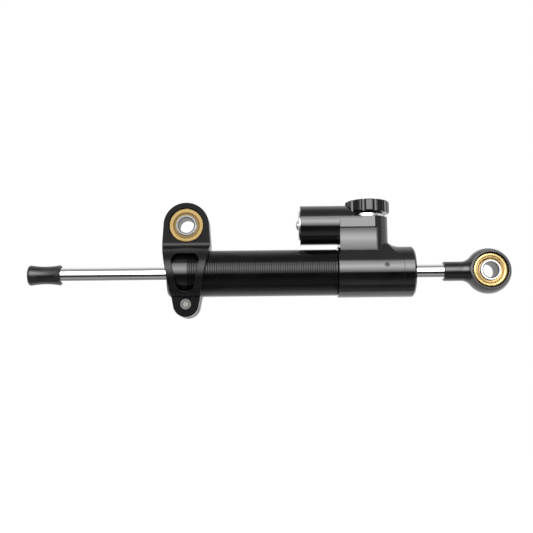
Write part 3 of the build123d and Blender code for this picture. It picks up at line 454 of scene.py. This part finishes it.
rubber_tree.links.new(rubber_shade.outputs["Result"], rubber_shader.inputs["Base Color"])
rubber_tree.links.new(rubber_touch.outputs["Patch"], rubber_rough.inputs["Value"])
rubber_tree.links.new(rubber_rough.outputs["Result"], rubber_shader.inputs["Roughness"])
rubber_tree.links.new(rubber_touch.outputs["Speck"], rubber_relief.inputs["Height"])
rubber_tree.links.new(rubber_relief.outputs["Normal"], rubber_shader.inputs["Normal"])
finish_with(rubber, "rod_cap")

# Rod end
# Forged and turned steel with a black finish, milled flat on both sides, screwed on the rod.
eye_black = metal_finish(
    "rod_end_black", colour=(0.006, 0.006, 0.007), worn=(0.06, 0.06, 0.06),
    roughness=0.12, metallic=0.0, refraction=1.6, lines=(900.0, 300.0, 900.0),
    mark_height=0.000002, edge=0.4, edge_radius=0.0004)
finish_with(eye_black, "rod_end_eye")

# Reservoir plug, fill screw and bleed plug
# The plug is a polished aluminium plate with a spigot in the reservoir's bore; the fill screw is
# stainless, and the bleed plug is a black grub screw flush with the head.
bright_plate = metal_finish(
    "bright_aluminium", colour=(0.74, 0.74, 0.75), worn=(0.86, 0.86, 0.86),
    roughness=0.2, metallic=1.0, refraction=1.5, lines=(1500.0, 1500.0, 1500.0),
    mark_height=0.000001, edge=0.4)
finish_with(bright_plate, "reservoir_plug")
stainless = metal_finish(
    "stainless_screw", colour=(0.62, 0.61, 0.6), worn=(0.75, 0.74, 0.73),
    roughness=0.22, metallic=1.0, refraction=1.5, lines=(900.0, 900.0, 900.0),
    mark_height=0.000002, edge=0.3)
finish_with(stainless, "fill_screw")
grub_black = metal_finish(
    "grub_screw_black", colour=(0.01, 0.01, 0.01), worn=(0.06, 0.06, 0.06),
    roughness=0.38, metallic=0.0, refraction=1.6, lines=(1500.0, 1500.0, 1500.0),
    mark_height=0.000002)
finish_with(grub_black, "bleed_plug")

# Adjuster collar and knob
# A polished collar screws into the boss. Above it the knob, turned aluminium with twelve milled
# flutes and bevelled rims, anodised gloss black, is held on the stem by a low-headed screw.
finish_with(bright_plate, "adjuster_collar")
knob_black = metal_finish(
    "black_anodise_knob", colour=(0.003, 0.003, 0.0034), worn=(0.03, 0.03, 0.03),
    roughness=0.07, metallic=0.0, refraction=1.45, lines=(200.0, 200.0, 2400.0),
    mark_height=0.0000012, edge=0.4, edge_radius=0.00025, patch=0.03, streak=0.04)
finish_with(knob_black, "adjuster_knob")
finish_with(stainless, "knob_screw")

# Inner pieces
# Tube, pistons, bushes, stem, needle, spring and seals: turned metal and rubber that show only
# where the head and glands are taken off.
turned_aluminium = metal_finish(
    "turned_aluminium", colour=(0.6, 0.6, 0.61), worn=(0.75, 0.75, 0.75),
    roughness=0.3, metallic=1.0, refraction=1.5, lines=(2200.0, 60.0, 60.0),
    mark_height=0.000003)
ground_steel = metal_finish(
    "ground_steel", colour=(0.5, 0.5, 0.51), worn=(0.65, 0.65, 0.65),
    roughness=0.25, metallic=1.0, refraction=1.5, lines=(1800.0, 200.0, 1800.0),
    mark_height=0.000002)
bush_bronze = metal_finish(
    "bush_bronze", colour=(0.5, 0.3, 0.14), worn=(0.7, 0.5, 0.3),
    roughness=0.35, metallic=1.0, refraction=1.5, lines=(2200.0, 60.0, 60.0),
    mark_height=0.000003)
slide_ring = metal_finish(
    "slide_ring", colour=(0.35, 0.27, 0.17), worn=(0.45, 0.37, 0.27),
    roughness=0.5, metallic=0.0, refraction=1.4, lines=(1200.0, 60.0, 60.0),
    mark_height=0.000003)
finish_with(turned_aluminium, "inner_tube", "piston", "floating_piston")
finish_with(ground_steel, "piston_circlips", "adjuster_stem", "needle_valve", "detent_pin",
            "detent_spring")
finish_with(bush_bronze, "end_rod_bush", "head_rod_bush")
finish_with(slide_ring, "piston_ring")
finish_with(rubber, "end_gland_ring", "end_rod_seal", "end_wiper", "head_gland_ring",
            "head_rod_seal", "head_wiper", "reservoir_plug_ring", "stem_ring",
            "floating_piston_ring")

# Floor, backdrop and light
# A pale floor well below the hanging damper, a white surround that the camera and bright metal
# see, one large soft light above and in front, and a tent and cards that only reflections see.
middle = Vector((0.0421, 0.0, -0.0217))
floor_drop = 0.42
floor_z = middle.z - floor_drop
floor_half = 3.0
floor_glow_level = 0.8
surround_light = 0.35
surround_white = 1.0


def seen_as_background(tree):
    """A factor of 1 for camera, glossy and transmission rays and 0 for the light on the object."""
    path = tree.nodes.new("ShaderNodeLightPath")
    either = tree.nodes.new("ShaderNodeMath")
    either.operation = "MAXIMUM"
    any_of = tree.nodes.new("ShaderNodeMath")
    any_of.operation = "MAXIMUM"
    tree.links.new(path.outputs["Is Camera Ray"], either.inputs[0])
    tree.links.new(path.outputs["Is Glossy Ray"], either.inputs[1])
    tree.links.new(either.outputs[0], any_of.inputs[0])
    tree.links.new(path.outputs["Is Transmission Ray"], any_of.inputs[1])
    return any_of.outputs[0]


world = bpy.data.worlds.new("studio")
bpy.context.scene.world = world
world.use_nodes = True
sky = world.node_tree
sky_light = sky.nodes["Background"]
sky_light.inputs["Color"].default_value = (1, 1, 1, 1)
sky_strength = sky.nodes.new("ShaderNodeMapRange")
sky_strength.inputs["To Min"].default_value = surround_light
sky_strength.inputs["To Max"].default_value = surround_white
sky.links.new(seen_as_background(sky), sky_strength.inputs["Value"])
sky.links.new(sky_strength.outputs["Result"], sky_light.inputs["Strength"])


def flat_sheet(name, corners):
    """A flat sheet of the studio, given by its corners."""
    mesh = bpy.data.meshes.new(name)
    mesh.from_pydata([Vector(c) for c in corners], [], [tuple(range(len(corners)))])
    sheet = bpy.data.objects.new(name, mesh)
    bpy.context.scene.collection.objects.link(sheet)
    return sheet


floor = flat_sheet("floor", [
    (-floor_half, -floor_half, floor_z), (floor_half, -floor_half, floor_z),
    (floor_half, floor_half, floor_z), (-floor_half, floor_half, floor_z)])
floor_paint = bpy.data.materials.new("pale_floor")
floor_paint.use_nodes = True
floor_tree = floor_paint.node_tree
floor_shader = floor_tree.nodes["Principled BSDF"]
floor_shader.inputs["Roughness"].default_value = 0.9
floor_shader.inputs["Emission Color"].default_value = (1, 1, 1, 1)
floor_noise = floor_tree.nodes.new("ShaderNodeTexNoise")
floor_noise.inputs["Scale"].default_value = 6.0
floor_tone = floor_tree.nodes.new("ShaderNodeMapRange")
floor_tone.inputs["To Min"].default_value = 0.82
floor_tone.inputs["To Max"].default_value = 0.86
floor_glow = floor_tree.nodes.new("ShaderNodeMath")
floor_glow.operation = "MULTIPLY"
floor_glow.inputs[1].default_value = floor_glow_level
floor_tree.links.new(floor_noise.outputs["Fac"], floor_tone.inputs["Value"])
floor_tree.links.new(floor_tone.outputs["Result"], floor_shader.inputs["Base Color"])
floor_tree.links.new(seen_as_background(floor_tree), floor_glow.inputs[0])
floor_tree.links.new(floor_glow.outputs[0], floor_shader.inputs["Emission Strength"])
floor.data.materials.append(floor_paint)


def shining_cloth(sheet, name, strength):
    """Make a studio sheet shine, for reflections alone; gives the cloth's tree and its shader."""
    sheet.visible_camera = False
    sheet.visible_diffuse = False
    sheet.visible_transmission = False
    sheet.visible_shadow = False
    cloth = bpy.data.materials.new(name)
    cloth.use_nodes = True
    tree = cloth.node_tree
    tree.nodes.clear()
    out = tree.nodes.new("ShaderNodeOutputMaterial")
    glow = tree.nodes.new("ShaderNodeEmission")
    glow.inputs["Strength"].default_value = strength
    tree.links.new(glow.outputs[0], out.inputs["Surface"])
    sheet.data.materials.append(cloth)
    return tree, glow


# The tent is a soft shell round the front of the damper, brightest above the front, dark just
# below it and dim at the sides, so that black and chromed metal show clean bands of light. Each
# band is given by its rise in degrees from straight ahead and by its brightness.
tent_radius = 0.4
tent_bands = [(-104, 0.30), (-92, 0.42), (-81, 0.25), (-70, 0.13), (-60, 0.42), (-51, 0.38),
              (-41, 0.20), (-32, 0.06), (-23, 0.04), (-14, 0.01), (-7, 0.05), (-5, 1.7), (3, 4.0),
              (12, 7.1), (21, 8.8), (30, 6.4), (40, 4.9), (45, 4.4), (49, 0.9), (53, 0.45),
              (60, 0.42), (71, 0.33), (83, 0.37), (95, 0.57), (106, 0.85)]
tent_brightest = 8.8
tent_low = -104
tent_high = 106
tent_side = 74
tent_steps = 42
tent_full_to = sin(radians(20))
tent_gone_by = sin(radians(45))
tent_side_glow = 0.42
tent_mesh = bpy.data.meshes.new("tent")
tent_shape = bmesh.new()
tent_rows = []
for row in range(tent_steps + 1):
    rise = radians(tent_low + (tent_high - tent_low) * row / tent_steps)
    tent_row = []
    for column in range(tent_steps + 1):
        side = radians(tent_side * (2 * column / tent_steps - 1))
        tent_row.append(tent_shape.verts.new(middle + tent_radius * Vector(
            (sin(side), -cos(side) * cos(rise), cos(side) * sin(rise)))))
    tent_rows.append(tent_row)
for lower, upper in zip(tent_rows, tent_rows[1:]):
    for k in range(tent_steps):
        tent_shape.faces.new((lower[k], lower[k + 1], upper[k + 1], upper[k]))
tent_shape.to_mesh(tent_mesh)
tent_shape.free()
tent = bpy.data.objects.new("tent", tent_mesh)
bpy.context.scene.collection.objects.link(tent)
tent_tree, tent_glow = shining_cloth(tent, "tent_cloth", tent_brightest)
tent_place = tent_tree.nodes.new("ShaderNodeTexCoord")
tent_from_middle = tent_tree.nodes.new("ShaderNodeVectorMath")
tent_from_middle.operation = "SUBTRACT"
tent_from_middle.inputs[1].default_value = middle
tent_split = tent_tree.nodes.new("ShaderNodeSeparateXYZ")
tent_forward = tent_tree.nodes.new("ShaderNodeMath")
tent_forward.operation = "MULTIPLY"
tent_forward.inputs[1].default_value = -1.0
tent_angle = tent_tree.nodes.new("ShaderNodeMath")
tent_angle.operation = "ARCTAN2"
tent_span = tent_tree.nodes.new("ShaderNodeMapRange")
tent_span.inputs["From Min"].default_value = radians(tent_low)
tent_span.inputs["From Max"].default_value = radians(tent_high)
tent_ramp = tent_tree.nodes.new("ShaderNodeValToRGB")
tent_stops = tent_ramp.color_ramp.elements
while len(tent_stops) < len(tent_bands):
    tent_stops.new(1.0)
for stop, (rise, radiance) in zip(tent_stops, tent_bands):
    stop.position = (rise - tent_low) / (tent_high - tent_low)
    tone = radiance / tent_brightest
    stop.color = (tone, tone, tone, 1)
tent_across = tent_tree.nodes.new("ShaderNodeMath")
tent_across.operation = "ABSOLUTE"
tent_fade = tent_tree.nodes.new("ShaderNodeMapRange")
tent_fade.interpolation_type = "SMOOTHSTEP"
tent_fade.inputs["From Min"].default_value = tent_radius * tent_full_to
tent_fade.inputs["From Max"].default_value = tent_radius * tent_gone_by
tent_dimmed = tent_tree.nodes.new("ShaderNodeMath")
tent_dimmed.operation = "MINIMUM"
tent_dimmed.inputs[1].default_value = tent_side_glow / tent_brightest
tent_sides = tent_tree.nodes.new("ShaderNodeMix")
tent_sides.data_type = "RGBA"
tent_tree.links.new(tent_place.outputs["Object"], tent_from_middle.inputs[0])
tent_tree.links.new(tent_from_middle.outputs[0], tent_split.inputs[0])
tent_tree.links.new(tent_split.outputs["Y"], tent_forward.inputs[0])
tent_tree.links.new(tent_split.outputs["Z"], tent_angle.inputs[0])
tent_tree.links.new(tent_forward.outputs[0], tent_angle.inputs[1])
tent_tree.links.new(tent_angle.outputs[0], tent_span.inputs["Value"])
tent_tree.links.new(tent_span.outputs["Result"], tent_ramp.inputs["Fac"])
tent_tree.links.new(tent_split.outputs["X"], tent_across.inputs[0])
tent_tree.links.new(tent_across.outputs[0], tent_fade.inputs["Value"])
tent_tree.links.new(tent_ramp.outputs["Color"], tent_dimmed.inputs[0])
tent_tree.links.new(tent_fade.outputs["Result"], tent_sides.inputs["Factor"])
tent_tree.links.new(tent_ramp.outputs["Color"], tent_sides.inputs["A"])
tent_tree.links.new(tent_dimmed.outputs[0], tent_sides.inputs["B"])
tent_tree.links.new(tent_sides.outputs["Result"], tent_glow.inputs["Color"])

# Small dim cards stand close before the flat faces of the clamp's eye and ear, and round ones
# before its bearing and its bolt, so that these don't mirror the tent.
card_sides = 32


def upright_sheet(name, x, z, y):
    """An upright sheet that faces the front, between two places across and two in height."""
    return flat_sheet(name, [(x[0], y, z[0]), (x[1], y, z[0]), (x[1], y, z[1]), (x[0], y, z[1])])


def round_sheet(name, x, z, y, radius):
    """A round upright sheet that faces the front."""
    turns = [2 * pi * k / card_sides for k in range(card_sides)]
    return flat_sheet(name, [(x + radius * cos(turn), y, z + radius * sin(turn)) for turn in turns])


bolt_low, bolt_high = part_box("clamp_bolt")
bolt_z = (bolt_low[2] + bolt_high[2]) / 2
eye_card = upright_sheet("eye_card", x=(-0.0138, 0.0136), z=(-0.0092, 0.0138), y=-0.0076)
bearing_card = round_sheet("bearing_card", x=0.0, z=0.0002, y=-0.007, radius=0.0094)
ear_card = upright_sheet("ear_card", x=(-0.0085, 0.0082), z=(-0.0495, -0.0348), y=-0.0094)
bolt_card = round_sheet("bolt_card", x=-0.0001, z=bolt_z + 0.0002, y=-0.0086, radius=0.0033)
for card, strength in ((eye_card, 1.1), (bearing_card, 0.95), (ear_card, 0.45), (bolt_card, 1.0)):
    shining_cloth(card, card.name + "_paint", strength)

softbox = bpy.data.lights.new("softbox", "AREA")
softbox.shape = "RECTANGLE"
softbox.size = 0.9
softbox.size_y = 0.6
softbox.energy = 5.5
softbox_distance = 0.8
softbox_lift = radians(30)
softbox_at = bpy.data.objects.new("softbox", softbox)
bpy.context.scene.collection.objects.link(softbox_at)
softbox_at.location = middle + softbox_distance * Vector((0, -cos(softbox_lift), sin(softbox_lift)))
softbox_at.rotation_euler = (pi / 2 - softbox_lift, 0, 0)
softbox_at.visible_camera = False
softbox_at.visible_glossy = False

# Camera
# A short telephoto a little below the damper, looking slightly up and square to it from side to
# side, and rolled by half a degree.
camera_distance = 0.437
camera_azimuth = radians(0)
camera_elevation = radians(-7)
camera_roll = radians(-0.59)
frame_width = 0.2831
camera = bpy.data.cameras.new("camera")
camera.sensor_width = 36.0
camera.lens = camera.sensor_width * camera_distance / frame_width
camera.clip_start = 0.01
camera_at = bpy.data.objects.new("camera", camera)
bpy.context.scene.collection.objects.link(camera_at)
back = Vector((sin(camera_azimuth) * cos(camera_elevation),
               -cos(camera_azimuth) * cos(camera_elevation), sin(camera_elevation)))
turn = (Matrix.Rotation(camera_azimuth, 4, "Z")
        @ Matrix.Rotation(pi / 2 - camera_elevation, 4, "X")
        @ Matrix.Rotation(camera_roll, 4, "Z"))
camera_at.matrix_world = Matrix.Translation(middle + camera_distance * back) @ turn
bpy.context.scene.camera = camera_at
bpy.context.scene.view_settings.view_transform = "Standard"
